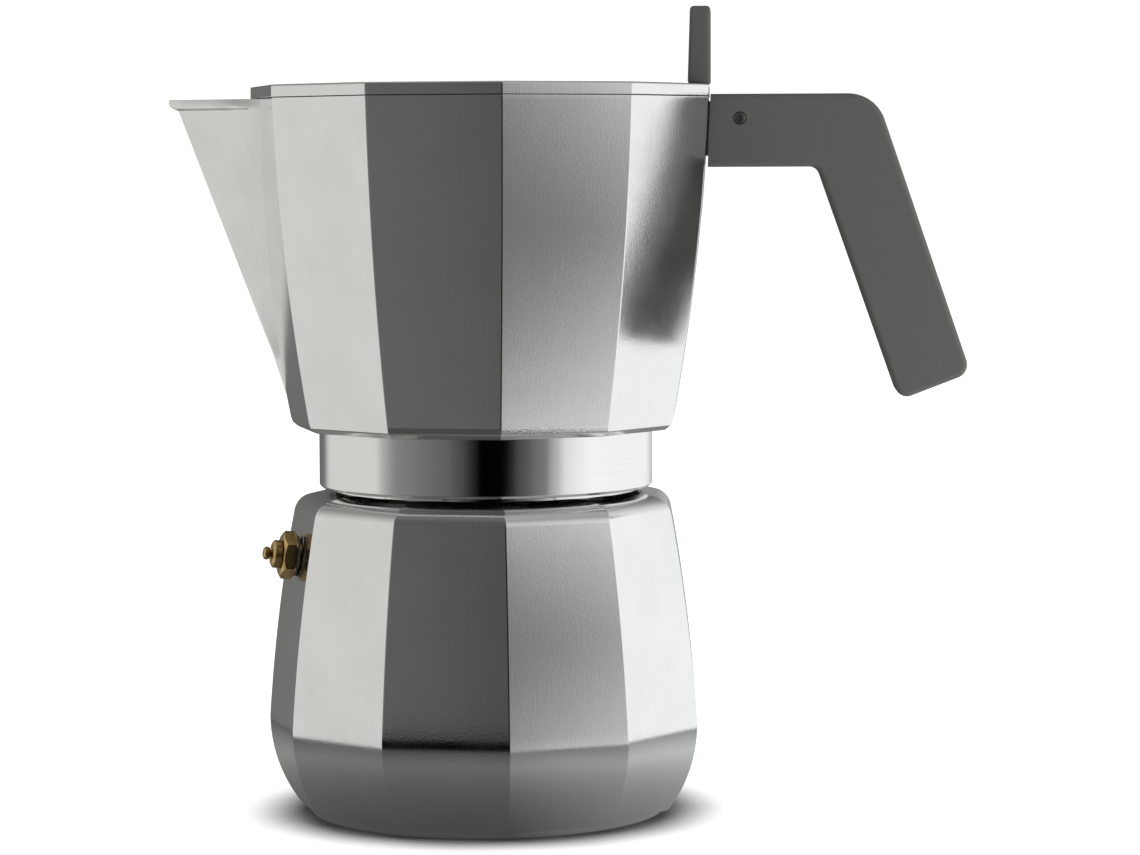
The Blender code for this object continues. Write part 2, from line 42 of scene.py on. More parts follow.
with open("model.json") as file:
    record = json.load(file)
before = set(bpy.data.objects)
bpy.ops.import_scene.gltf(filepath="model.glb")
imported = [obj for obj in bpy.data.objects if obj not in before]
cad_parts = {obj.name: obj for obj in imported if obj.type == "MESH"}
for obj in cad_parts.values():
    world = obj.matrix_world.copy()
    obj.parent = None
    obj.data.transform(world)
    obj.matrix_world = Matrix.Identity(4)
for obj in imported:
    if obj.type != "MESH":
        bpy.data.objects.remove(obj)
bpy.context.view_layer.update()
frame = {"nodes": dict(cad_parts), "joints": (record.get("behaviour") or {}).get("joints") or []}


# ---- profiles and outlines --------------------------------------------------
def arc_through(first, middle, last, count):
    """Points of the circular arc through three (radius, height) points."""
    a, b, c = (Vector(p) for p in (first, middle, last))
    d = 2.0 * (a.x * (b.y - c.y) + b.x * (c.y - a.y) + c.x * (a.y - b.y))
    aa, bb, cc = a.length_squared, b.length_squared, c.length_squared
    centre = Vector((aa * (b.y - c.y) + bb * (c.y - a.y) + cc * (a.y - b.y),
                     aa * (c.x - b.x) + bb * (a.x - c.x) + cc * (b.x - a.x))) / d
    start, end = (math.atan2(*(p - centre).yx) for p in (a, c))
    radius = (a - centre).length
    return [(centre.x + radius * math.cos(t), centre.y + radius * math.sin(t))
            for t in (start + (end - start) * k / count for k in range(count + 1))]


def filleted(corners, steps=4, closed=False):
    """Round a line's (u, v, radius) corners with arcs; a missing or zero radius keeps the point."""
    points = []
    last = len(corners) - 1
    for i, corner in enumerate(corners):
        here = Vector(corner[:2])
        radius = corner[2] if len(corner) > 2 else 0.0
        if radius == 0.0 or (not closed and i in (0, last)):
            points.append(tuple(here))
            continue
        before = Vector(corners[i - 1][:2]) - here
        after = Vector(corners[(i + 1) % len(corners)][:2]) - here
        half = before.angle(after) / 2.0
        reach = min(radius / math.tan(half), CORNER_ROOM * before.length, CORNER_ROOM * after.length)
        radius = reach * math.tan(half)
        before.normalize()
        after.normalize()
        centre = here + (before + after).normalized() * radius / math.sin(half)
        start = here + before * reach - centre
        sweep = -start.angle_signed(here + after * reach - centre)
        points += [tuple(centre + Matrix.Rotation(sweep * k / steps, 2) @ start) for k in range(steps + 1)]
    return points


# ---- mesh builders ------------------------------------------------------------
def piece(name, mesh, body=None, finish=None, stands_for=()):
    """Link a mesh, give it its material, tie it to its body and hide the CAD nodes it stands for."""
    thing = bpy.data.objects.new(name, mesh)
    bpy.context.scene.collection.objects.link(thing)
    if finish:
        mesh.materials.append(finish)
    if body:
        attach(thing, body)
        if stands_for:
            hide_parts(*stands_for)
    return thing


def skinned(name, rings, cyclic=False, caps=(True, True)):
    """Mesh from equal-length point rings, joined by quads, with ends capped or joined to each other."""
    shape = bmesh.new()
    loops = [[shape.verts.new(p) for p in ring] for ring in rings]
    pairs = list(zip(loops, loops[1:])) + ([(loops[-1], loops[0])] if cyclic else [])
    for low, high in pairs:
        for k in range(len(low)):
            n = (k + 1) % len(low)
            shape.faces.new((low[k], low[n], high[n], high[k]))
    if not cyclic:
        for loop, wanted in ((loops[0], caps[0]), (loops[-1], caps[1])):
            if wanted:
                hub = shape.verts.new(sum((v.co for v in loop), Vector()) / len(loop))
                for k in range(len(loop)):
                    shape.faces.new((loop[k], loop[(k + 1) % len(loop)], hub))
    bmesh.ops.recalc_face_normals(shape, faces=shape.faces)
    return finished(name, shape)


def finished(name, shape, smooth=True):
    """Mesh from a BMesh, which is freed."""
    for face in shape.faces:
        face.smooth = smooth
    mesh = bpy.data.meshes.new(name)
    shape.to_mesh(mesh)
    shape.free()
    return mesh


def lathe(name, profile, steps=96, cyclic=False):
    """Turned mesh from (radius, height) points: a ring if cyclic, otherwise with capped ends."""
    angles = [2.0 * math.pi * k / steps for k in range(steps)]
    rings = [[(r * math.cos(a), r * math.sin(a), z) for a in angles] for r, z in profile]
    return skinned(name, rings, cyclic)


def slab_mesh(name, outline, half):
    """Plate in the XZ plane, thickened evenly about Y = 0."""
    shape = bmesh.new()
    sides = [[shape.verts.new((x, y, z)) for x, z in outline] for y in (-half, half)]
    shape.faces.new(sides[0])
    shape.faces.new(list(reversed(sides[1])))
    for k in range(len(outline)):
        n = (k + 1) % len(outline)
        shape.faces.new((sides[0][k], sides[1][k], sides[1][n], sides[0][n]))
    bmesh.ops.recalc_face_normals(shape, faces=shape.faces)
    return finished(name, shape)


def block_mesh(name, x, y, z):
    """Box between two limits along each axis."""
    low, high = Vector((x[0], y[0], z[0])), Vector((x[1], y[1], z[1]))
    shape = bmesh.new()
    bmesh.ops.create_cube(shape, size=1.0, matrix=Matrix.Translation((low + high) / 2.0)
                          @ Matrix.Diagonal((*(high - low), 1.0)))
    return finished(name, shape, smooth=False)


def moved(mesh, place):
    """The mesh itself, carried to a place."""
    mesh.transform(place)
    return mesh


def boolean(thing, operation, *meshes):
    """Join or cut a piece with some meshes at once, and keep the result as its mesh."""
    tools = []
    for mesh in meshes:
        tool = bpy.data.objects.new(mesh.name, mesh)
        bpy.context.scene.collection.objects.link(tool)
        step = thing.modifiers.new(tool.name, "BOOLEAN")
        step.operation, step.solver, step.object = operation, "EXACT", tool
        tools.append(tool)
    apply_modifiers(thing)
    for tool in tools:
        bpy.data.objects.remove(tool, do_unlink=True)


def apply_modifiers(thing):
    """Turn a piece's modifiers into its mesh."""
    bpy.context.view_layer.update()
    evaluated = thing.evaluated_get(bpy.context.evaluated_depsgraph_get())
    mesh = bpy.data.meshes.new_from_object(evaluated)
    thing.modifiers.clear()
    old, thing.data = thing.data, mesh
    bpy.data.meshes.remove(old)
    mesh.name = thing.name


def tidy_faces(thing, angle=FINE_ANGLE):
    """Shade smooth with sharp edges past an angle, and weight normals by face size."""
    mesh = thing.data
    for polygon in mesh.polygons:
        polygon.use_smooth = True
    mesh.set_sharp_from_angle(angle=math.radians(angle))
    weigh = thing.modifiers.new("Weighted normals", "WEIGHTED_NORMAL")
    weigh.keep_sharp = True
    weigh.weight = NORMAL_WEIGHT


def paint(thing, finish, chosen):
    """Give a second material to the faces whose centre and outward slope pass a test."""
    thing.data.materials.append(finish)
    for polygon in thing.data.polygons:
        centre = polygon.center
        outward = polygon.normal.xy.dot(centre.xy.normalized())
        if chosen(centre.xy.length, centre.z, outward, polygon.normal.z):
            polygon.material_index = len(thing.data.materials) - 1


def soften(thing, width, segments):
    """Round a piece's edges that turn by more than SOFT_ANGLE."""
    bevel = thing.modifiers.new("Soft edges", "BEVEL")
    bevel.width, bevel.segments = width, segments
    bevel.limit_method, bevel.angle_limit = "ANGLE", math.radians(SOFT_ANGLE)
    bevel.harden_normals = False
    apply_modifiers(thing)


# ---- material nodes -------------------------------------------------------------
class Nodes:
    """A small wrapper that adds and links shader nodes."""

    def __init__(self, name):
        self.material = bpy.data.materials.new(name)
        self.material.use_nodes = True
        self.tree = self.material.node_tree
        self.shader = self.tree.nodes["Principled BSDF"]

    def add(self, kind, inputs=None, **settings):
        node = self.tree.nodes.new(kind)
        for key, value in settings.items():
            setattr(node, key, value)
        for socket, value in (inputs or {}).items():
            if isinstance(value, bpy.types.NodeSocket):
                self.tree.links.new(value, node.inputs[socket])
            else:
                node.inputs[socket].default_value = value
        return node

    def math(self, operation, a, b=0.0):
        return self.add("ShaderNodeMath", {0: a, 1: b}, operation=operation).outputs[0]

    def noise(self, vector, scale, detail=3.0, roughness=0.5):
        return self.add("ShaderNodeTexNoise", {"Vector": vector, "Scale": scale, "Detail": detail,
                                               "Roughness": roughness}).outputs["Fac"]

    def span(self, value, low, high, to_low, to_high):
        """A value carried from one range to another, and held at its ends."""
        return self.add("ShaderNodeMapRange", {"Value": value, "From Min": low, "From Max": high,
                                               "To Min": to_low, "To Max": to_high}).outputs["Result"]

    def blend(self, factor, a, b):
        mix = self.add("ShaderNodeMix", data_type="RGBA")
        for socket, value in zip((mix.inputs[0], mix.inputs[6], mix.inputs[7]), (factor, a, b)):
            if isinstance(value, bpy.types.NodeSocket):
                self.tree.links.new(value, socket)
            else:
                socket.default_value = value if socket == mix.inputs[0] else (*value, 1.0)
        return mix.outputs[2]

    def place(self):
        """Object coordinates in metres: the vector, its parts and the angle round Z."""
        coords = self.add("ShaderNodeTexCoord").outputs["Object"]
        parts = self.add("ShaderNodeSeparateXYZ", {0: coords}).outputs
        return coords, parts[0], parts[1], parts[2], self.math("ARCTAN2", parts[1], parts[0])

    def vector(self, x, y, z=0.0):
        return self.add("ShaderNodeCombineXYZ", {0: x, 1: y, 2: z}).outputs[0]

    def bump(self, height, strength, distance):
        normal = self.add("ShaderNodeBump", {"Height": height, "Strength": strength, "Distance": distance})
        self.tree.links.new(normal.outputs[0], self.shader.inputs["Normal"])

    def surface(self, **values):
        """Set or link the shader's sockets by name, and give the material."""
        for socket, value in values.items():
            target = self.shader.inputs[socket.replace("_", " ")]
            if isinstance(value, bpy.types.NodeSocket):
                self.tree.links.new(value, target)
            else:
                target.default_value = value
        return self.material


def faceted_metal(name, tone, roughness):
    """Satin cast metal with a fine grain, faint upright polishing lines and cloudy wear."""
    n = Nodes(name)
    coords, _, _, z, angle = n.place()
    fine = n.noise(n.vector(n.math("MULTIPLY", angle, 300.0), n.math("MULTIPLY", z, 60.0)), 1.0, 3.0, 0.6)
    cloud = n.noise(coords, 45.0, 5.0, 0.62)
    grain = n.noise(coords, 1800.0, 2.0, 0.7)
    rough = n.math("ADD", n.span(cloud, 0.3, 0.7, roughness - 0.03, roughness + 0.04),
                   n.span(fine, 0.3, 0.7, -0.01, 0.01))
    worn = n.math("ADD", n.span(cloud, 0.35, 0.7, 0.0, 0.7), n.span(fine, 0.3, 0.7, 0.0, 0.3))
    colour = n.blend(worn, tone, tuple(c * 0.91 for c in tone))
    n.bump(n.math("ADD", n.math("MULTIPLY", fine, 0.35), grain), 0.75, 0.00002)
    return n.surface(Base_Color=colour, Metallic=1.0, Roughness=rough)


def turned_metal(name, tone, roughness, anisotropy=0.6, pitch=0.0004):
    """Lathe-turned metal: fine rings across Z, with highlights drawn out along the axis."""
    n = Nodes(name)
    coords, x, y, z, angle = n.place()
    radius = n.math("SQRT", n.math("ADD", n.math("MULTIPLY", x, x), n.math("MULTIPLY", y, y)))
    across = n.vector(n.math("MULTIPLY", z, 1.0 / pitch), n.math("MULTIPLY", radius, 1.0 / pitch),
                      n.math("MULTIPLY", angle, 0.8))
    rings = n.noise(across, 1.0, 3.0, 0.6)
    cloud = n.noise(coords, 70.0, 3.0, 0.5)
    rough = n.span(cloud, 0.3, 0.7, roughness - 0.03, roughness + 0.04)
    n.bump(rings, 0.06, 0.00002)
    tangent = n.add("ShaderNodeTangent", direction_type="RADIAL", axis="Z").outputs[0]
    colour = n.blend(n.span(rings, 0.35, 0.7, 0.0, 0.4), tone, tuple(c * 0.93 for c in tone))
    return n.surface(Base_Color=colour, Metallic=1.0, Roughness=rough, Anisotropic=anisotropy,
                     Anisotropic_Rotation=0.25, Tangent=tangent)


def plastic(name, tone, roughness):
    """Moulded plastic with a fine spark-eroded grain and slight handling shine."""
    n = Nodes(name)
    coords = n.place()[0]
    grain = n.noise(coords, 2400.0, 3.0, 0.6)
    cloud = n.noise(coords, 40.0, 3.0, 0.5)
    rough = n.span(cloud, 0.3, 0.7, roughness - 0.05, roughness + 0.05)
    colour = n.blend(n.span(grain, 0.3, 0.7, 0.0, 1.0), tuple(c * 0.92 for c in tone),
                     tuple(c * 1.08 for c in tone))
    n.bump(grain, 0.16, 0.00006)
    return n.surface(Base_Color=colour, Roughness=rough, IOR=1.49)


def aged_brass(name):
    """Brass with dull brown stains and a fine grain."""
    n = Nodes(name)
    coords = n.place()[0]
    stain = n.noise(coords, 420.0, 4.0, 0.6)
    fine = n.noise(coords, 3000.0, 2.0)
    colour = n.blend(n.span(stain, 0.4, 0.65, 0.0, 1.0), (0.62, 0.42, 0.16), (0.34, 0.21, 0.08))
    n.bump(fine, 0.1, 0.00004)
    return n.surface(Base_Color=colour, Metallic=1.0, Roughness=n.span(stain, 0.3, 0.7, 0.14, 0.34))


def soft_rubber(name, tone, roughness):
    """Matt rubber, silicone or pressed fibre with a soft grain."""
    n = Nodes(name)
    coords = n.place()[0]
    grain = n.noise(coords, 900.0, 3.0, 0.6)
    colour = n.blend(n.span(grain, 0.3, 0.7, 0.0, 1.0), tone, tuple(c * 0.86 for c in tone))
    n.bump(grain, 0.1, 0.00008)
    return n.surface(Base_Color=colour, Roughness=n.span(grain, 0.3, 0.7, roughness, roughness + 0.1))


CAST = faceted_metal("cast_aluminium_satin", (0.82, 0.82, 0.81), 0.125)
# darker, rougher finish for the inside, also used as painted shade on the strip under the spout's lip
INSIDE_AND_LIP_SHADE = faceted_metal("cast_aluminium_inside_and_lip_shade", (0.66, 0.66, 0.65), 0.38)
TURNED = turned_metal("aluminium_turned", (0.82, 0.82, 0.81), 0.13)
SPUN = turned_metal("aluminium_spun", (0.74, 0.74, 0.73), 0.30, 0.5, 0.0006)
DARK_PLASTIC = plastic("plastic_warm_grey", (0.058, 0.059, 0.054), 0.56)
BRASS = aged_brass("brass_aged")
STEEL = turned_metal("steel_bright", (0.60, 0.60, 0.61), 0.32, 0.2, 0.0002)
SILICONE = soft_rubber("silicone_white", (0.70, 0.69, 0.64), 0.52)
FIBRE = soft_rubber("fibre_grey_brown", (0.060, 0.050, 0.038), 0.7)
RUBBER = soft_rubber("rubber_black", (0.02, 0.02, 0.02), 0.6)

# ---- rings of the two vessels ---------------------------------------------------
CORNER_STEPS = 5
FACE_STEPS = 6
SIDE_STEPS = 6
CREASE_MIN = 1.4 * MM                # least distance from the crease beside the spout to the plan's corner
EDGE = 0.9 * MM                      # radius of the upright corners, in plan
INNER_EDGE = 0.0015                  # the same inside the jug and under the lid
LIP_END = 0.0652                     # distance from the axis where the lip's plan begins
LIP_SIDE = 0.5 * MM                  # how far the lip stands out from the spout's sides
LIP_GAIN = 0.08                      # how fast it comes out, for each metre toward the tip
LIP_NOSE = 0.0008                    # half width at the tip within which that fades
BEAD_HALF, BEAD_SLOPE = 0.42, 1.6    # thread bead: half width in pitches, steepness of its flanks
BEAD_FADE = 0.12                     # turns over which the bead fades in and out


def corner_arc(before, here, after, radius):
    """Arc of a plan corner, with a fixed number of points."""
    return filleted([tuple(before), (*here, radius), tuple(after)], CORNER_STEPS)[1:-1]


def between(a, b, count):
    """Points evenly spread between two others, which are left out."""
    return [a.lerp(b, (k + 1) / (count + 1)) for k in range(count)]


def vessel_plan(corner_r, edge, spout=None):
    """Plan of an eleven-sided wall with softened corners, and a spout in place of the -X corner.

    spout gives (reach, slope of its sides, nose radius, reach of its lip or None).
    """
    def corner(k):
        a = math.pi + k * STEP
        return Vector((corner_r * math.cos(a), corner_r * math.sin(a)))

    reach, slope, nose, lip_reach = spout or (corner_r, math.tan((math.pi - STEP) / 2.0), edge, None)
    crease = corner(0) + (corner(1) - corner(0)).normalized() * CREASE_MIN
    if spout:
        facing = Vector((math.cos(STEP / 2.0), math.sin(STEP / 2.0)))
        along = (reach * facing.x - corner_r * FLAT) / (facing.x - slope * facing.y)
        if along > 0.0:
            found = Vector((along - reach, -slope * along))
            if (found - corner(0)).length > CREASE_MIN:
                crease = found
        reach += nose * (math.hypot(1.0, slope) / slope - 1.0)
    other = Vector((crease.x, -crease.y))
    arc = [Vector(p) for p in corner_arc(other, (-reach, 0.0), crease, nose)]
    ring = [other, *between(other, arc[0], SIDE_STEPS), *arc, *between(arc[-1], crease, SIDE_STEPS), crease]
    if lip_reach:
        tip = -min(p.x for p in ring)
        for p in ring:
            if -p.x > LIP_END:
                side = min(LIP_SIDE, LIP_GAIN * (-p.x - LIP_END)) * min(1.0, abs(p.y) / LIP_NOSE)
                p.y += math.copysign(side, p.y)
                p.x = -LIP_END + (p.x + LIP_END) * (lip_reach - LIP_END) / (tip - LIP_END)
    for k in range(1, SIDES):
        following = corner(k + 1) if k < SIDES - 1 else other
        arc = [Vector(p) for p in corner_arc(ring[-1], corner(k), following, edge)]
        ring += [*between(ring[-1], arc[0], FACE_STEPS), *arc]
    return ring + between(ring[-1], other, FACE_STEPS)


def lifted(plan, z):
    """A plan's points at a height."""
    return [(x, y, z) for x, y in plan]


def eased_angles(plan, passes=60):
    """Bearings of a plan's points, spread out toward an even spacing for the round rings."""
    start = math.atan2(plan[0][1], plan[0][0])
    angles = [start + (math.atan2(y, x) - start + 0.001) % (2.0 * math.pi) for x, y in plan]
    for _ in range(passes):
        before = [angles[-1] - 2.0 * math.pi] + angles[:-1]
        after = angles[1:] + [angles[0] + 2.0 * math.pi]
        angles = [(a + b) / 2.0 for a, b in zip(before, after)]
    return angles


def circle(radius, z):
    """Round ring with as many points as a vessel's plan."""
    return [(radius * math.cos(a), radius * math.sin(a), z) for a in ROUND]


def thread_ring(z, root, height, start, pitch, turns, outward=1.0):
    """Round ring at a height with a helical bead that fades in and out."""
    ring = []
    for bearing in ROUND:
        angle = bearing % (2.0 * math.pi)
        radius = root
        for k in range(-1, int(turns) + 2):
            t = angle / (2.0 * math.pi) + k
            if 0.0 <= t <= turns:
                off = abs(z - start - pitch * t) / (BEAD_HALF * pitch)
                fade = min(1.0, t / BEAD_FADE, (turns - t) / BEAD_FADE)
                if off < 1.0:
                    radius = root + outward * height * fade * min(1.0, BEAD_SLOPE * (1.0 - off))
        ring.append((radius * math.cos(bearing), radius * math.sin(bearing), z))
    return ring


ROUND = eased_angles(vessel_plan(0.0560, EDGE))  # bearings of the round rings' points

# ---- boiler -----------------------------------------------------------------------
BOILER_TURN = math.radians(1.25)     # the boiler's turn against the jug
BOILER_WIDEST = (0.06325, 0.0270)    # corner radius and height of the widest ring
BELLY_R = 0.0410                     # radius of the curve from there down to the foot
BELLY_STEPS = 16
BOILER_WALL = 0.0030                 # wall thickness
PITCH = 0.0030                       # the thread's rise in a turn
THREAD_STEP = 0.00022                # between the rings that carry a thread
BOILER_THREAD = (0.0439, 0.0008, 0.0955, PITCH, 2.0)  # root radius, bead height, start, pitch, turns
COLLAR_THREAD = (0.0457, 0.00075, 0.0970, PITCH, 1.6, -1.0)  # the same, with the bead inward


def boiler_wall(inset=0.0):
    """Corner radii and heights of the boiler's wall, from the shoulder down to the foot."""
    upper = arc_through((0.0558, 0.0862), (0.0604, 0.0567), BOILER_WIDEST, 26)
    sweep = math.asin((BOILER_WIDEST[1] - 0.0018) / BELLY_R)
    belly = [(BOILER_WIDEST[0] - BELLY_R * (1.0 - math.cos(sweep * k / BELLY_STEPS)),
              BOILER_WIDEST[1] - BELLY_R * math.sin(sweep * k / BELLY_STEPS))
             for k in range(1, BELLY_STEPS + 1)]
    return [(r - inset / FLAT, z) for r, z in upper + belly]


def valve_place():
    """Matrix whose +Z is the valve's axis, from the boiler's face outward."""
    joint = next(j for j in frame["joints"] if j["name"] == "valve_pop")
    axis = Vector(joint["axis"]).normalized()
    low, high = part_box("valve_washer")
    seat = (low + high) / 2.0 - axis * 0.425 * MM
    return Matrix.Translation(seat) @ axis.to_track_quat("Z", "Y").to_matrix().to_4x4()


def make_boiler():
    rings = [circle(r, z) for r, z in ((0.0150, 0.0038), (0.0300, 0.0038))]
    inside = filleted([(0.0440, 0.0038), (0.0490, 0.0044, 0.002)] + [
        p for p in reversed(boiler_wall(BOILER_WALL)) if 0.0065 < p[1] < 0.0850] + [
        (0.0516, 0.0872, 0.002), (0.0478, 0.0884, 0.001)], 3)
    rings += [lifted(vessel_plan(r, 0.002), z) for r, z in inside]
    bore = filleted([(0.0450, 0.0884), (0.0410, 0.0884, 0.0006), (0.0410, 0.1035, 0.0004),
                     (0.0433, 0.1035), (0.0439, 0.1029), (0.0439, 0.1022)], 3)
    rings += [circle(r, z) for r, z in bore]
    z = 0.1019
    while z > 0.0946:
        rings.append(thread_ring(z, *BOILER_THREAD))
        z -= THREAD_STEP
    rings += [circle(0.0439, 0.0944), circle(0.0439, 0.0931)]
    rings += [lifted(vessel_plan(r, EDGE), z) for r, z in filleted(
        [(0.0459, 0.0928), (0.0463, 0.0927, 0.0002), (0.0549, 0.0908, 0.0060), *boiler_wall()[2:-1],
         (0.0546, 0.0018, 0.0004), (0.0525, 0.0018)], 7)]
    rings += [circle(r, z) for r, z in filleted(
        [(0.0516, 0.0018), (0.0510, 0.0018, 0.0002), (0.0510, 0.0, 0.0004), (0.0470, 0.0, 0.0003),
         (0.0464, 0.0006, 0.0003), (0.0250, 0.0006, 0.0003), (0.0245, 0.0002, 0.0003),
         (0.0220, 0.0002, 0.0003), (0.0215, 0.0006, 0.0003), (0.0100, 0.0006)], 3)]
    mesh = moved(skinned("boiler_shell", rings), Matrix.Rotation(BOILER_TURN, 4, "Z"))
    shell = piece("boiler_shell", mesh, "boiler", CAST, ("boiler",))
    place = valve_place()
    boss = lathe("boss", [(0.0066, -0.0005), (0.0066, -0.0047), (0.0061, -0.0052)], 48)
    boolean(shell, "UNION", moved(boss, place))
    boolean(shell, "DIFFERENCE", moved(lathe("boss_bore", [(0.0041, 0.0100), (0.0041, -0.0100)], 48), place))
    paint(shell, INSIDE_AND_LIP_SHADE, lambda r, z, outward, up: z > 0.0030 and outward < 0.2 and (up < 0.5 or r < 0.0500))
    paint(shell, TURNED, lambda r, z, outward, up: z > 0.0925 and r < 0.0464)
    tidy_faces(shell, WIDE_ANGLE)


# ---- safety valve -------------------------------------------------------------------
VALVE_FLATS = 0.0120                 # across the hexagon's flats
HEXAGON_TURN = math.radians(30.0)    # which brings a corner of the hexagon up


def make_valve():
    """Valve pieces, with heights measured out along the valve's axis."""
    place = valve_place()
    washer = filleted([(0.0058, 0.0008, 0.0001), (0.0058, 0.00005, 0.0001), (0.0042, 0.00005),
                       (0.0042, 0.0008)], 2, closed=True)
    washer = piece("valve_washer_ring", moved(lathe("valve_washer_ring", washer, 64, cyclic=True), place),
                   "boiler", FIBRE, ("valve_washer",))
    body = [(0.0054, 0.0047), (0.0056, 0.0047), (0.0070, 0.0038), (0.0070, 0.0015), (0.0064, 0.00085),
            (0.0040, 0.00085), (0.0040, -0.0048), (0.0036, -0.0055), (0.0020, -0.0055)]
    body = piece("valve_hex_body", moved(lathe("valve_hex_body", body, 96), place), "boiler", BRASS,
                 ("valve_body",))
    corner_r = VALVE_FLATS / math.sqrt(3.0)
    boolean(body, "INTERSECT", moved(lathe("hexagon", [(corner_r, 0.02), (corner_r, -0.02)], 6),
                                     place @ Matrix.Rotation(HEXAGON_TURN, 4, "Z")))
    boolean(body, "DIFFERENCE", moved(lathe("chamber", [(0.0029, 0.0100), (0.0029, -0.0031)], 48), place))
    boolean(body, "DIFFERENCE", moved(lathe("orifice", [(0.0012, 0.0), (0.0012, -0.0100)], 32), place))
    collar = filleted([(0.0030, 0.0073, 0.0002), (0.0040, 0.0067, 0.0003), (0.0040, 0.00475, 0.00015),
                       (0.0028, 0.00475), (0.0028, 0.0041), (0.0012, 0.0041), (0.0012, 0.0073, 0.0002)],
                      3, closed=True)
    collar = piece("valve_round_collar", moved(lathe("valve_round_collar", collar, 64, cyclic=True), place),
                   "boiler", BRASS, ("valve_collar",))
    stem = filleted([(0.0005, 0.0097), (0.0012, 0.0097, 0.0004), (0.00185, 0.0092, 0.0004),
                     (0.0019, 0.0087, 0.0003), (0.0017, 0.0080, 0.0003), (0.0010, 0.0077, 0.0002),
                     (0.0010, -0.0015), (0.0026, -0.0015, 0.0001), (0.0026, -0.0023, 0.0002),
                     (0.0008, -0.0023)], 4)
    stem = piece("valve_stem_knob", moved(lathe("valve_stem_knob", stem, 48), place), "plunger", BRASS,
                 ("valve_plunger",))
    for thing in (washer, body, collar, stem):
        tidy_faces(thing)


# ---- funnel, filters and gasket -------------------------------------------------------
DRILL_SIDES = 12


def drilled(thing, radius, pitch, reach, z):
    """Drill a hexagonal field of round holes through a disc."""
    shape = bmesh.new()
    rows = int(reach / pitch) + 1
    for i in range(-2 * rows, 2 * rows + 1):
        for j in range(-2 * rows, 2 * rows + 1):
            x, y = pitch * (i + 0.5 * j), pitch * j * math.sqrt(3.0) / 2.0
            if math.hypot(x, y) < reach:
                bmesh.ops.create_cone(shape, cap_ends=True, segments=DRILL_SIDES, radius1=radius,
                                      radius2=radius, depth=z[1] - z[0],
                                      matrix=Matrix.Translation((x, y, sum(z) / 2.0)))
    boolean(thing, "DIFFERENCE", finished("drills", shape))


def make_funnel():
    """Funnel with its cup, and the strainer in the cup."""
    profile = filleted([
        (0.0432, 0.1045, 0.0003), (0.0432, 0.10375, 0.0003), (0.0402, 0.10375, 0.0006),
        (0.0402, 0.0782, 0.0020), (0.0388, 0.0766, 0.0020), (0.0075, 0.0690, 0.0030),
        (0.0055, 0.0672, 0.0020), (0.0055, 0.0095, 0.0003), (0.0045, 0.0095, 0.0003),
        (0.0045, 0.0676, 0.0020), (0.0070, 0.0699, 0.0030), (0.0380, 0.0774, 0.0020),
        (0.0392, 0.0785, 0.0015), (0.0392, 0.1045, 0.0006)], 4, closed=True)
    funnel = piece("funnel_shell", lathe("funnel_shell", profile, 96, cyclic=True), "funnel", SPUN,
                   ("funnel_basket",))
    notch = block_mesh("notch", (-0.0100, 0.0100), (-0.0012, 0.0012), (0.0050, 0.0125))
    boolean(funnel, "DIFFERENCE", notch)
    strainer = filleted([(0.0050, 0.0794), (0.0388, 0.0794, 0.00015), (0.0388, 0.0788, 0.00015),
                         (0.0050, 0.0788)], 2)
    strainer = piece("funnel_strainer", lathe("funnel_strainer", strainer), "funnel", SPUN,
                     ("funnel_filter",))
    drilled(strainer, 0.0011, 0.0048, 0.0365, (0.0770, 0.0810))
    for thing in (funnel, strainer):
        tidy_faces(thing)


def make_seals():
    """Gasket and filter plate, which the collar holds."""
    ring = filleted([(0.0434, 0.1076, 0.0006), (0.0434, 0.1048, 0.0006), (0.0320, 0.1048, 0.0004),
                     (0.0320, 0.1076, 0.0004)], 4, closed=True)
    ring = piece("gasket_seal", lathe("gasket_seal", ring, 96, cyclic=True), "gasket_ring", SILICONE,
                 ("gasket",))
    plate = filleted([(0.0050, 0.1085), (0.0428, 0.1085, 0.00015), (0.0428, 0.1079, 0.00015),
                      (0.0050, 0.1079)], 2)
    plate = piece("filter_disc_plate", lathe("filter_disc_plate", plate), "filter_disc", SPUN,
                  ("filter_plate",))
    drilled(plate, 0.0009, 0.0040, 0.0305, (0.1060, 0.1100))
    for thing in (ring, plate):
        tidy_faces(thing)


# ---- jug ---------------------------------------------------------------------------------
RIM_Z = 0.2051
RIM_EDGE = 0.0002                    # size of the round at the rim's outer edge
SPOUT_ROOT = (0.0572, 0.1202)        # distance from the axis and height where the spout's ridge starts
SPOUT_REACH = 0.0893                 # the ridge's distance from the axis at the rim
SPOUT_SLOPE = 0.0226 / 0.0373        # half width gained for each step from the tip toward the axis
SPOUT_WALL = 0.0036                  # between the ridge and the channel's bottom, at the rim
CHANNEL_ROOT = (0.0540, 0.1262)      # where the channel starts inside
RIDGE_NOSE, LIP_CORNER, CHANNEL_NOSE = 0.0005, 0.0012, 0.0004  # plan radii of ridge, lip and channel
LIP_REACH = 0.0908                   # the lip's tip
JUG_WALL = 0.0026
COLLAR_R = 0.0480
WALL_STEP, ROOT_STEP = 0.0025, 0.0012  # between the wall's rings: in general, inside near the spout's root
JUG_ARC = arc_through((0.06715, RIM_Z), (0.0634, 0.1582), (0.0566, 0.1141), 60)


def jug_radius(z):
    """Corner radius of the jug's wall at a height."""
    for (r0, z0), (r1, z1) in zip(JUG_ARC, JUG_ARC[1:]):
        if z <= z0 and z >= z1:
            return r1 + (r0 - r1) * (z - z1) / (z0 - z1)
    return JUG_ARC[0][0] if z > JUG_ARC[0][1] else JUG_ARC[-1][0]


def spout_reach(z, root, top):
    """Distance from the axis of a straight ridge at a height."""
    return root[0] + (z - root[1]) * (top - root[0]) / (RIM_Z - root[1])


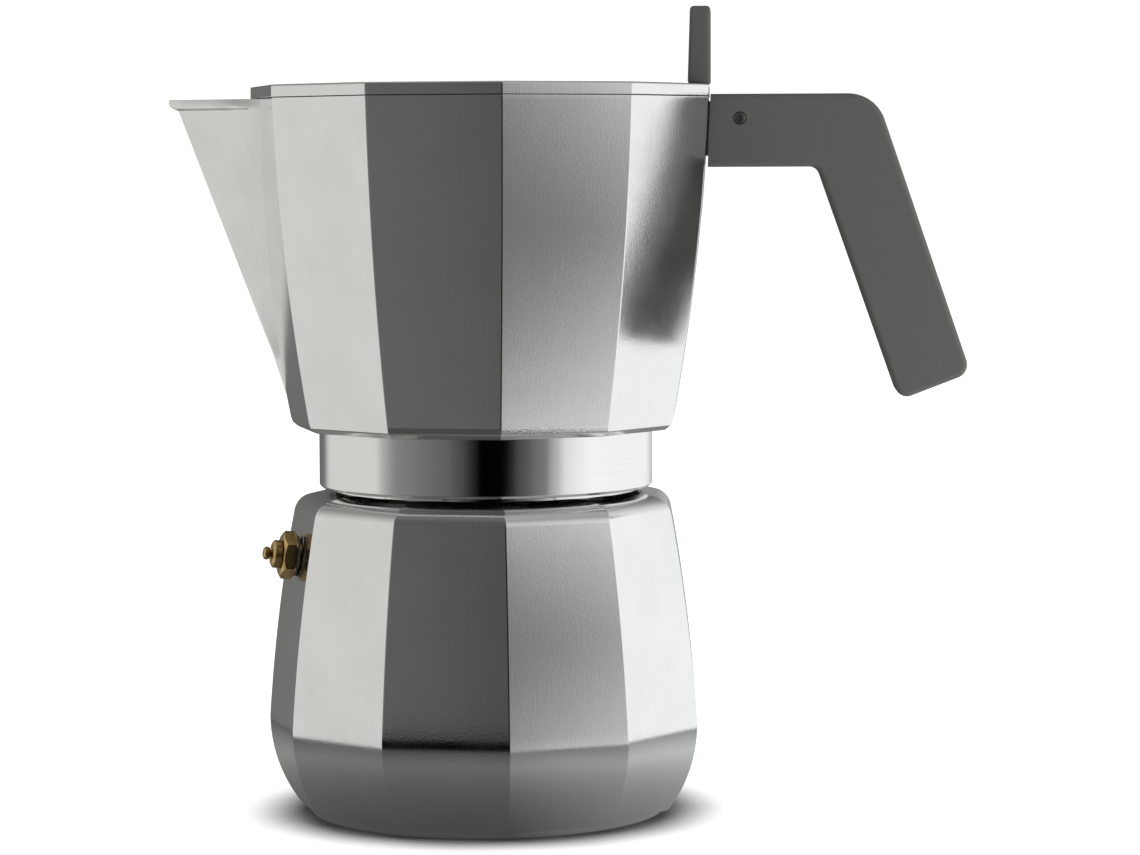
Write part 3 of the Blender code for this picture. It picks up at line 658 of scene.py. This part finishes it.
def outer_plan(z, inset=0.0, lip=None):
    """Plan of the jug's outside at a height, with the lip's reach where there is a lip."""
    spout = None
    if z > SPOUT_ROOT[1]:
        nose = RIDGE_NOSE if lip is None else LIP_CORNER
        spout = (spout_reach(z, SPOUT_ROOT, SPOUT_REACH) - inset, SPOUT_SLOPE, nose, lip and lip - inset)
    return vessel_plan(jug_radius(z) - inset, EDGE, spout)


def inner_plan(z):
    """Plan of the jug's inside at a height."""
    spout = None
    if z > CHANNEL_ROOT[1]:
        spout = (spout_reach(z, CHANNEL_ROOT, SPOUT_REACH - SPOUT_WALL), SPOUT_SLOPE, CHANNEL_NOSE, None)
    return vessel_plan(jug_radius(z) - JUG_WALL / FLAT, INNER_EDGE, spout)


def make_jug():
    """Jug with collar and spout: rings down the outside, through the collar and up the inside."""
    rings = [lifted(outer_plan(RIM_Z, RIM_EDGE, LIP_REACH), RIM_Z),
             lifted(outer_plan(RIM_Z, RIM_EDGE * 0.3, LIP_REACH), RIM_Z - RIM_EDGE * 0.3)]
    for z, lip in ((RIM_Z - RIM_EDGE, LIP_REACH), (0.2037, LIP_REACH), (0.2026, 0.0896), (0.2020, None),
                   (0.2014, None)):
        rings.append(lifted(outer_plan(z, 0.0, lip), z))
    z = 0.2010
    while z > 0.1260:
        rings.append(lifted(outer_plan(z), z))
        z -= WALL_STEP
    rings += [lifted(outer_plan(z), z) for z in (0.1240, 0.1226, 0.1214, 0.1206, 0.1202, 0.1185, 0.1165)]
    rings += [lifted(vessel_plan(r, EDGE), z) for r, z in filleted(
        [(0.0568, 0.1152), (0.0566, 0.1141, 0.0006), (0.0560, 0.1123, 0.0012), (0.0542, 0.1109, 0.0008),
         (0.0515, 0.1109)], 3)]
    rings += [circle(r, z) for r, z in filleted(
        [(0.0490, 0.1109), (COLLAR_R, 0.1109, 0.0003), (COLLAR_R, 0.0948, 0.0003),
         (COLLAR_R - 0.0008, 0.0940, 0.0003), (0.0457, 0.0940, 0.0003), (0.0457, 0.0962)], 3)]
    z = 0.0964
    while z < 0.1026:
        rings.append(thread_ring(z, *COLLAR_THREAD))
        z += THREAD_STEP
    rings += [circle(r, z) for r, z in filleted(
        [(0.0457, 0.1030), (0.0457, 0.1040), (0.0442, 0.1046), (0.0442, 0.1088, 0.0003),
         (0.0310, 0.1088, 0.0004), (0.0300, 0.1106, 0.0010), (0.0090, 0.1113, 0.0006), (0.0067, 0.1113),
         (0.0067, 0.1146), (0.0090, 0.1146)], 3)]
    rings += [circle(r, z) for r, z in ((0.0200, 0.1146), (0.0350, 0.1146))]
    rings += [lifted(vessel_plan(r, INNER_EDGE), z) for r, z in filleted(
        [(0.0460, 0.1146), (0.0505, 0.1148, 0.0020), (0.0530, 0.1168, 0.0020), (0.0542, 0.1200)], 4)]
    z = 0.1215
    while z < 0.2040:
        rings.append(lifted(inner_plan(z), z))
        z += WALL_STEP if z > 0.1290 else ROOT_STEP
    rings += [lifted(inner_plan(RIM_Z - 0.0003), RIM_Z - 0.0003)]
    top = [Vector(p) for p in inner_plan(RIM_Z)]
    rim = [Vector(p) for p in outer_plan(RIM_Z, RIM_EDGE, LIP_REACH)]
    rings += [lifted([p + (q - p).normalized() * 0.0003 for p, q in zip(top, rim)], RIM_Z)]
    shell = piece("jug_shell", skinned("jug_shell", rings, cyclic=True), "jug", CAST, ("jug",))
    boolean(shell, "UNION", block_mesh("lug", (0.0600, 0.0830), (-0.0062, 0.0062), (0.1885, 0.2040)))
    boolean(shell, "DIFFERENCE", block_mesh("notch", (0.0500, 0.0900), (-0.0032, 0.0032), (0.1945, 0.2200)))
    boolean(shell, "DIFFERENCE", pin_tool(PIN_EYE, THROUGH))
    paint(shell, INSIDE_AND_LIP_SHADE, lambda r, z, outward, up: z > 0.1125 and outward < 0.2 and (up < 0.7 or z < 0.2))
    # painted shade: the strip under the spout's lip gets the darker inside finish, as a dark line in the
    # crease
    paint(shell, INSIDE_AND_LIP_SHADE, lambda r, z, outward, up: r > 0.0672 and 0.2018 < z < 0.2028 and up < -0.35)
    paint(shell, TURNED, lambda r, z, outward, up: z < 0.1108)
    tidy_faces(shell)


def make_column():
    """Tube that brings the coffee up, with an outlet on each side of its head."""
    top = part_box("column")[1].z
    profile = filleted([
        (0.0015, top, 0.0002), (0.0032, top, 0.0006), (0.0052, top - 0.0008, 0.0010),
        (0.0062, top - 0.0025, 0.0012), (0.0062, top - 0.0100, 0.0020), (0.0085, 0.1200, 0.0040),
        (0.0110, 0.1160, 0.0010), (0.0110, 0.1147, 0.0003), (0.0066, 0.1147), (0.0066, 0.1116),
        (0.0040, 0.1116), (0.0040, top - 0.0035, 0.0005), (0.0015, top - 0.0020, 0.0003)], 5, closed=True)
    column = piece("column_tube", lathe("column_tube", profile, 64, cyclic=True), "jug", INSIDE_AND_LIP_SHADE, ("column",))
    boolean(column, "DIFFERENCE", block_mesh("outlet", (-0.0024, 0.0024), (-0.0200, 0.0200),
                                             (top - 0.0110, top - 0.0050)))
    tidy_faces(column)


# ---- handle, hinge and lid -------------------------------------------------------------
THROUGH = (-0.0200, 0.0200)          # span along the hinge of a cut that goes right through
PIN_EYE = 0.0016                     # radius of the eyes in lug and tongue
PIN_HOLE = 0.00155                   # radius of the handle's hole
HEAD_HOLE, HEAD_SEAT = 0.0019, 0.0076  # radius and depth, from the middle, of the recesses for the heads
LID_CORNER_R = 0.0673
LID_BOTTOM = 0.20528
LID_HOLLOW = 0.0010                  # depth of the shallow hollow under the lid
TONGUE_EYE = 0.0034                  # outer radius of the tongue's round end


def hinge_point():
    """The lid hinge's place, from the frame's joint."""
    joint = next(j for j in frame["joints"] if j["name"] == "lid_hinge")
    return Vector(joint["pos_m"])


def pin_place():
    """Matrix whose +Z runs along the hinge toward -Y, the near side."""
    return Matrix.Translation(hinge_point()) @ Matrix.Rotation(math.pi / 2.0, 4, "X")


def pin_tool(radius, span):
    """Cylinder along the hinge, for cutting."""
    return moved(lathe("pin_tool", [(radius, span[1]), (radius, span[0])], 32), pin_place())


HANDLE_OUTLINE = [(0.0600, 0.2060), (0.1118, 0.2060, 0.0110), (0.1389, 0.1266, 0.0040),
                  (0.1187, 0.1188, 0.0035), (0.0953, 0.1853, 0.0030), (0.0600, 0.1853)]
HANDLE_END = [(0.0500, 0.2090), (0.06514, 0.2090), (0.06403, 0.1820), (0.0500, 0.1820)]  # cut away
HANDLE_HALF = 0.0090                 # half the handle's thickness


def make_handle():
    """Bent plastic slab, cut to the jug's wall and hollowed for lug, tongue and pin."""
    slab = slab_mesh("handle_grip", filleted(HANDLE_OUTLINE, 14, closed=True), HANDLE_HALF)
    handle = piece("handle_grip", slab, "jug", DARK_PLASTIC, ("handle",))
    soften(handle, 0.0015, 5)
    boolean(handle, "DIFFERENCE", slab_mesh("end", HANDLE_END, 0.0200))
    pocket = block_mesh("pocket", (0.0600, 0.0834), (-0.0065, 0.0065), (0.1881, 0.2043))
    boolean(handle, "DIFFERENCE", pocket)
    boolean(handle, "DIFFERENCE", block_mesh("slot", (0.0600, 0.0806), (-0.0034, 0.0034), (0.2000, 0.2200)))
    boolean(handle, "DIFFERENCE", pin_tool(PIN_HOLE, THROUGH))
    for side in (-1.0, 1.0):
        boolean(handle, "DIFFERENCE", pin_tool(HEAD_HOLE, sorted((side * HEAD_SEAT, side * THROUGH[1]))))
    tidy_faces(handle)


def make_pin():
    """Socket screw and the barrel nut it goes into, which are the lid's hinge pin."""
    screw = filleted([(0.0006, 0.0088), (0.0016, 0.0088, 0.0002), (0.0016, 0.0077), (0.0008, 0.0077),
                      (0.0008, -0.0040, 0.0002), (0.0003, -0.0040)], 3)
    screw = piece("hinge_socket_screw", moved(lathe("hinge_socket_screw", screw, 48), pin_place()), "jug",
                  STEEL, ("hinge_screw",))
    socket = lathe("socket", [(0.0009, 0.0100), (0.0009, 0.0080)], 6)
    boolean(screw, "DIFFERENCE", moved(socket, pin_place()))
    nut = filleted([(0.0014, 0.0060), (0.0014, -0.0077), (0.0016, -0.0077), (0.0016, -0.0088, 0.0002),
                    (0.0009, -0.0088, 0.0001), (0.0009, 0.0060)], 3, closed=True)
    nut = moved(lathe("hinge_nut_barrel", nut, 48, cyclic=True), pin_place())
    nut = piece("hinge_nut_barrel", nut, "jug", STEEL, ("hinge_barrel_nut",))
    for thing in (screw, nut):
        tidy_faces(thing)


def make_lid():
    """Flat lid with a shallow hollow below, and the tongue that turns on the pin."""
    top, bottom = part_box("lid")[1].z, LID_BOTTOM
    hollow = bottom + LID_HOLLOW
    rings = [circle(0.0200, top), circle(0.0500, top)]
    rings += [lifted(vessel_plan(r, EDGE), z) for r, z in filleted(
        [(LID_CORNER_R - 0.0040, top), (LID_CORNER_R, top, 0.0006), (LID_CORNER_R, bottom, 0.00015),
         (LID_CORNER_R - 0.0040, bottom)], 4)]
    rings += [lifted(vessel_plan(r, INNER_EDGE), z) for r, z in filleted(
        [(0.0580, bottom), (0.0565, bottom, 0.0002), (0.0560, hollow, 0.0003), (0.0540, hollow)], 3)]
    rings += [circle(0.0400, hollow), circle(0.0150, hollow)]
    lid = piece("lid_plate", skinned("lid_plate", rings), "lid", CAST, ("lid",))
    pin = hinge_point()
    eye = [(pin.x + TONGUE_EYE * math.cos(a), pin.z + TONGUE_EYE * math.sin(a))
           for a in (math.radians(-110 + 7.5 * k) for k in range(25))]
    root = [(0.0639, 0.2040), (0.0636, 0.2066), (0.0575, 0.2066), (0.0575, 0.2030), (0.0600, 0.1985),
            (0.0625, 0.1957)]
    tongue = slab_mesh("tongue", eye + root, 0.0028)
    boolean(lid, "UNION", tongue)
    boolean(lid, "DIFFERENCE", pin_tool(PIN_EYE, THROUGH))
    for name in ("knob_screw_front", "knob_screw_rear"):
        sink = lathe("sink", [(0.00165, 0.2120), (0.00165, bottom + 0.0017), (0.0030, bottom),
                              (0.0030, 0.2000)], 48)
        boolean(lid, "DIFFERENCE", moved(sink, screw_place(name)))
    tidy_faces(lid, WIDE_ANGLE)


def screw_place(node):
    """Matrix over the middle of an upright screw, at height zero."""
    low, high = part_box(node)
    centre = (low + high) / 2.0
    return Matrix.Translation((centre.x, centre.y, 0.0))


def make_knob():
    """Plastic blade on the lid, and the two countersunk screws that hold it from below."""
    low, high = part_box("lid_knob")
    outline = filleted([(0.0592, high.z, 0.0012), (0.0650, high.z, 0.0012), (0.0650, low.z), (0.0585, low.z)],
                       10, closed=True)
    knob = piece("knob_fin", slab_mesh("knob_fin", outline, high.y), "lid", DARK_PLASTIC, ("lid_knob",))
    soften(knob, 0.0010, 4)
    for node in ("knob_screw_front", "knob_screw_rear"):
        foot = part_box(node)[0].z
        boolean(knob, "DIFFERENCE", moved(lathe("pilot", [(0.0015, 0.2185), (0.0015, 0.2000)], 32),
                                          screw_place(node)))
        profile = filleted([(0.0004, 0.2180), (0.0014, 0.2180, 0.0003), (0.0014, foot + 0.0014, 0.0002),
                            (0.0027, foot, 0.0001), (0.0012, foot)], 3)
        name = node.replace("knob_screw", "lid_screw")
        screw = moved(lathe(name, profile, 48), screw_place(node))
        screw = piece(name, screw, "lid", STEEL, (node,))
        cross = [block_mesh("cross", (-w, w), (-v, v), (foot - 0.0010, foot + 0.0007))
                 for w, v in ((0.0013, 0.00025), (0.00025, 0.0013))]
        for arm in cross:
            boolean(screw, "DIFFERENCE", moved(arm, screw_place(node)))
        tidy_faces(screw)
    tidy_faces(knob)


# ---- CAD nodes that stay, with their materials --------------------------------------------
def dress(node, finish):
    """Give a CAD node that is shown as it is its material and slot."""
    mesh = frame["nodes"][node].data
    mesh.materials.clear()
    mesh.materials.append(finish)


# ---- studio ----------------------------------------------------------------------------
CAMERA_PLACE = (0.0727, -1.0421, 0.1863)
VIEW_DIRECTION = Vector((-0.04625, 0.99630, -0.07244))
CAMERA_ROLL = 0.0042                 # radians
CAMERA_LENS, CAMERA_SENSOR = 114.54, 36.0  # millimetres
VIEW_AZIMUTH = math.radians(3.99)    # the camera's bearing from the pot, from -Y toward +X


def make_camera():
    """Camera in front of the pot, a little above its middle, with a slight roll."""
    data = bpy.data.cameras.new("camera")
    data.sensor_width, data.lens = CAMERA_SENSOR, CAMERA_LENS
    data.clip_start, data.clip_end = 0.05, 20.0
    camera = bpy.data.objects.new("camera", data)
    bpy.context.scene.collection.objects.link(camera)
    camera.location = CAMERA_PLACE
    forward = VIEW_DIRECTION.normalized()
    right = forward.cross(Vector((0.0, 0.0, 1.0))).normalized()
    up = right.cross(forward)
    cos, sin = math.cos(CAMERA_ROLL), math.sin(CAMERA_ROLL)
    right, up = right * cos - up * sin, right * sin + up * cos
    camera.rotation_euler = Matrix((right, up, -forward)).transposed().to_euler()
    bpy.context.scene.camera = camera


LIGHT_TARGET = Vector((0.0, 0.0, 0.1))


def softbox(name, azimuth, distance, height, width, tall, power):
    """Rectangular light aimed at the pot; azimuth is from the camera's side, to the right."""
    data = bpy.data.lights.new("light_" + name, "AREA")
    data.shape, data.size, data.size_y = "RECTANGLE", width, tall
    data.energy = power
    light = bpy.data.objects.new("light_" + name, data)
    bpy.context.scene.collection.objects.link(light)
    a = math.radians(azimuth) + VIEW_AZIMUTH
    light.location = (distance * math.sin(a), -distance * math.cos(a), height)
    light.rotation_euler = (LIGHT_TARGET - light.location).to_track_quat("-Z", "Y").to_euler()
    light.visible_camera = light.visible_glossy = False


def reflector(name, mesh, levels, shade):
    """Stage surface that only reflections see, lit by direction round the pot.

    levels are (azimuth, level) stops; shade(nodes, level, parts) finishes the level.
    """
    board = piece(name, mesh)
    n = Nodes(name)
    n.tree.nodes.remove(n.shader)
    coords, x, y, z, _ = n.place()
    angle = n.math("ARCTAN2", x, n.math("MULTIPLY", y, -1.0))
    flare = n.math("ABSOLUTE", n.math("SUBTRACT", z, PANEL_MIDDLE))
    lean = n.math("MULTIPLY", flare, n.span(angle, 0.0, 0.5, 0.0, PANEL_FLARE))
    turned = n.math("ADD", n.math("ADD", angle, lean), math.pi - VIEW_AZIMUTH)
    share = n.math("FRACT", n.math("DIVIDE", turned, 2.0 * math.pi))
    ramp = n.add("ShaderNodeValToRGB", {"Fac": share})
    stops = ramp.color_ramp.elements
    for i, (azimuth, level) in enumerate(levels):
        stop = stops[i] if i < 2 else stops.new(1.0)
        stop.position = (azimuth + 180.0) / 360.0
        stop.color = (level, level, level, 1.0)
    level = shade(n, ramp.outputs["Color"], (coords, x, y, z))
    warmth = n.span(angle, -TINT_SPREAD, TINT_SPREAD, 0.0, 1.0)
    tint = n.blend(warmth, TINT_LEFT, TINT_RIGHT)
    glow = n.add("ShaderNodeEmission", {"Color": tint, "Strength": level})
    n.tree.links.new(glow.outputs[0], n.tree.nodes["Material Output"].inputs["Surface"])
    board.data.materials.append(n.material)
    board.visible_camera = board.visible_diffuse = board.visible_shadow = False


PANEL_FLARE = 1.1                    # radians that the right panel's near edge leans by, for each metre
PANEL_MIDDLE = 0.09                  # height from which it leans, up and down
TINT_LEFT, TINT_RIGHT = (1.0, 1.0, 0.965), (0.985, 1.0, 1.015)
TINT_SPREAD = 1.6                    # radians to each side over which the tint turns
WALL_LEVELS = ((-180, 0.10), (-144, 0.18), (-131, 0.74), (-84, 0.76), (-76, 0.74), (-70, 0.44),
               (-60, 0.26), (-24, 0.135), (-9, 0.03), (-5, 0.0), (14, 0.0), (24, 0.08), (41, 0.23),
               (56, 0.90), (74, 1.12), (140, 1.05), (180, 0.10))
WALL_R = 0.45
WALL_HEIGHTS = (-0.4, 1.3)
TABLE_LEVELS = ((-180, 0.36), (-90, 0.26), (-24, 0.18), (10, 0.18), (41, 0.40), (107, 0.72), (180, 0.36))
TABLE_R = 0.20
CARD_R, CARD_TOP = 0.21, 0.025       # dark card low in front of the pot, on its left: painted shade that only reflections see, for the shaded join of table and wall
CARD_BEARINGS = range(-58, -3, 3)
SKY, REFLECTED_SKY = 1.05, 0.5       # the world's strength, and as reflections see it
FLOOR_HALF = 12.0
FLOOR_DROP = 0.0002                  # keeps the floor clear of the foot
SHADE_REACH = 0.024                  # how far from the pot the floor's contact shade goes
SHADE_TONE = (0.05, 0.05, 0.05)
FLOOR_GLOW = 0.45


def wall_shade(n, level, parts):
    """The panels fade with height into one even tone."""
    faded = n.math("MULTIPLY", level, n.span(parts[3], 0.22, 0.46, 1.0, 0.3))
    return n.math("ADD", faded, n.span(parts[3], 0.24, 0.60, 0.0, 0.12))


def plain_shade(n, level, parts):
    """The level as it is."""
    return level


def table_shade(n, level, parts):
    """The table is darker in the pot's own shade and at its far edge."""
    _, x, y, _ = parts
    reach = n.math("SQRT", n.math("ADD", n.math("MULTIPLY", x, x), n.math("MULTIPLY", y, y)))
    near = n.span(reach, 0.045, 0.11, 0.35, 1.0)
    return n.math("MULTIPLY", n.math("MULTIPLY", level, near), n.span(reach, 0.10, TABLE_R, 1.0, 0.30))


def make_studio():
    """Pale floor and room, two lights, and the panels that the metal reflects."""
    scene = bpy.context.scene
    scene.view_settings.view_transform = "Standard"
    world = bpy.data.worlds.new("studio")
    scene.world = world
    world.use_nodes = True
    tree = world.node_tree
    path = tree.nodes.new("ShaderNodeLightPath")
    dim = tree.nodes.new("ShaderNodeMapRange")
    dim.inputs["To Min"].default_value, dim.inputs["To Max"].default_value = SKY, REFLECTED_SKY
    tree.links.new(path.outputs["Is Glossy Ray"], dim.inputs["Value"])
    tree.links.new(dim.outputs["Result"], tree.nodes["Background"].inputs["Strength"])
    tree.nodes["Background"].inputs["Color"].default_value = (1.0, 1.0, 1.0, 1.0)
    shape = bmesh.new()
    bmesh.ops.create_grid(shape, x_segments=1, y_segments=1, size=FLOOR_HALF)
    floor = piece("floor", finished("floor", shape, smooth=False))
    n = Nodes("floor_pale")
    tone = n.blend(n.noise(n.place()[0], 6.0), (0.86, 0.86, 0.86), (0.88, 0.88, 0.88))
    # painted contact shadow: the floor's colour and glow darken toward SHADE_TONE where occlusion finds the
    # pot close by
    open_sky = n.add("ShaderNodeAmbientOcclusion", {"Distance": SHADE_REACH}, samples=8).outputs["AO"]
    tone = n.blend(n.span(open_sky, 0.35, 0.80, 0.0, 1.0), SHADE_TONE, tone)
    floor.data.materials.append(n.surface(Base_Color=tone, Roughness=0.8, Emission_Color=tone,
                                          Emission_Strength=FLOOR_GLOW))
    floor.location.z = -FLOOR_DROP
    floor.visible_glossy = False
    walls = skinned("reflected_walls", [circle(WALL_R, z) for z in WALL_HEIGHTS], caps=(False, False))
    reflector("reflected_walls", walls, WALL_LEVELS, wall_shade)
    table = skinned("reflected_table", [circle(r, -0.0001) for r in (0.03, TABLE_R)],
                    caps=(True, False))
    reflector("reflected_table", table, TABLE_LEVELS, table_shade)
    # painted shade: a black card that only reflections see, standing in for the shaded join of table and wall
    card = bmesh.new()
    bearings = [VIEW_AZIMUTH + math.radians(a) for a in CARD_BEARINGS]
    edges = [[card.verts.new((CARD_R * math.sin(a), -CARD_R * math.cos(a), z)) for a in bearings]
             for z in (0.0, CARD_TOP)]
    for low, high in zip(zip(edges[0], edges[0][1:]), zip(edges[1], edges[1][1:])):
        card.faces.new((*low, *reversed(high)))
    reflector("reflected_card", finished("reflected_card", card), ((-180, 0.0), (180, 0.0)), plain_shade)
    softbox("left", -92.0, 1.3, 0.55, 1.1, 1.3, 4.0)
    softbox("right", 60.0, 0.55, 0.04, 0.3, 0.2, 3.0)


make_camera()
make_boiler()
make_valve()
make_funnel()
make_seals()
make_jug()
make_column()
make_handle()
make_pin()
make_lid()
make_knob()
dress("valve_spring", STEEL)
dress("valve_seal", RUBBER)
make_studio()
